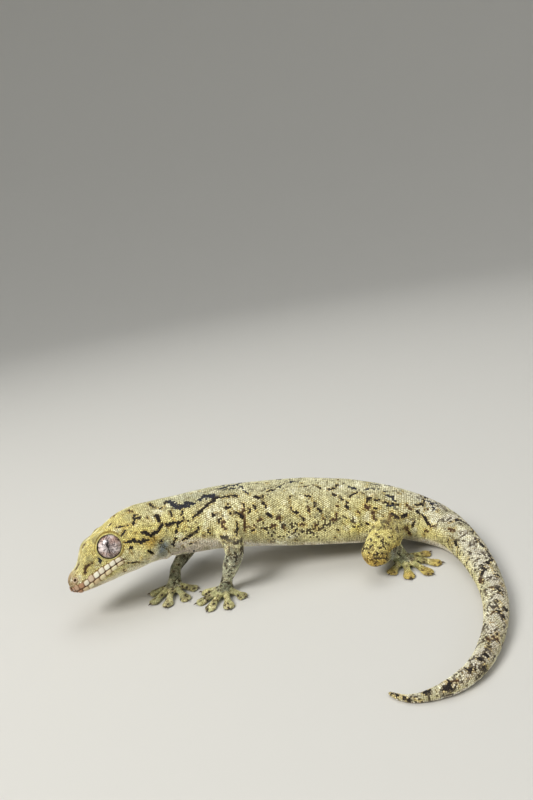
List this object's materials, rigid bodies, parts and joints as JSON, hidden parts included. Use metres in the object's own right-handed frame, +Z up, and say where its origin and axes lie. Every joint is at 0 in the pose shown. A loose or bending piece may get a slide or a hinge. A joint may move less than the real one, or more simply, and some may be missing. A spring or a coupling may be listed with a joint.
{
  "type": "wahlbergs velvet gecko",
  "caption": "Life-size still model of a velvet gecko standing low with spread toes, head turned and lowered to its left and its tail curled round on the floor.",
  "frame": {"origin": "under the middle of the model's box, on the floor that soles and tail rest on", "axes": "+Z up; the head points to -X and the animal's left side faces -Y, where the tail curls round"},
  "size_m": [0.1168, 0.0944, 0.0277],
  "materials": {
    "skin": "dry matt scaly skin, pale yellow-green with dark broken lines",
    "eye": "wet glossy eye, silver-pink with fine dark veins"
  },
  "bodies": {
    "root": {"head": "skin", "jaw": "skin", "eye_left": "eye", "eye_right": "eye", "neck": "skin", "torso": "skin", "tail_root": "skin", "tail_front": "skin", "tail_rear": "skin", "tail_tip": "skin", "upper_arm_left": "skin", "forearm_left": "skin", "hand_left": "skin", "thigh_left": "skin", "shin_left": "skin", "foot_left": "skin", "upper_arm_right": "skin", "forearm_right": "skin", "hand_right": "skin", "thigh_right": "skin", "shin_right": "skin", "foot_right": "skin"}
  },
  "joints": []
}
